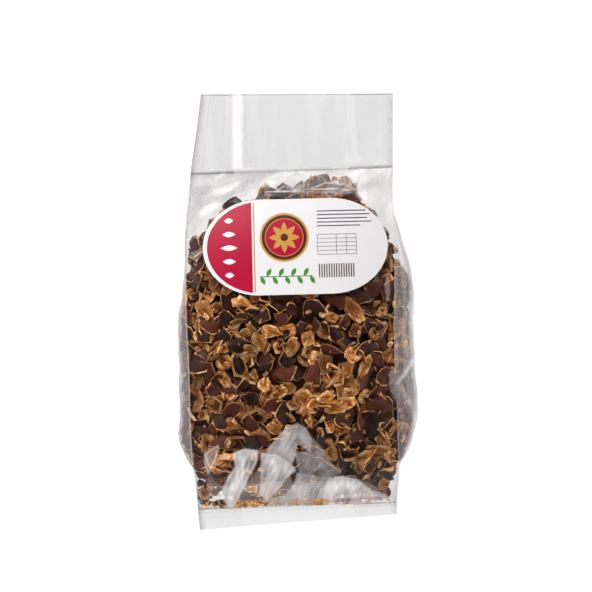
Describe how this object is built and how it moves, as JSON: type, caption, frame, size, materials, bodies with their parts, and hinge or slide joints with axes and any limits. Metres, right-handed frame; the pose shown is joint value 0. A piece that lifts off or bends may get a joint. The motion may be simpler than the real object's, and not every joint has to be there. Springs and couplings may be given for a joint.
{
  "type": "bag of chopped carob pods",
  "caption": "Clear side-gusset film bag, heat sealed at foot and head, filled with chopped carob pods, with an oval label on its front.",
  "frame": {"origin": "under the middle of the bag's box, on the surface that its back lies on", "axes": "+Z out of the front panel with the label, +Y from the welded foot to the head, +X to the right as the label is seen"},
  "size_m": [0.1691, 0.308, 0.0459],
  "materials": {
    "clear_film": "gloss",
    "carob": "satin",
    "label_paper": "satin"
  },
  "bodies": {
    "root": {"film_bag": "clear_film", "pod_pieces": "carob", "label": "label_paper"}
  },
  "joints": []
}
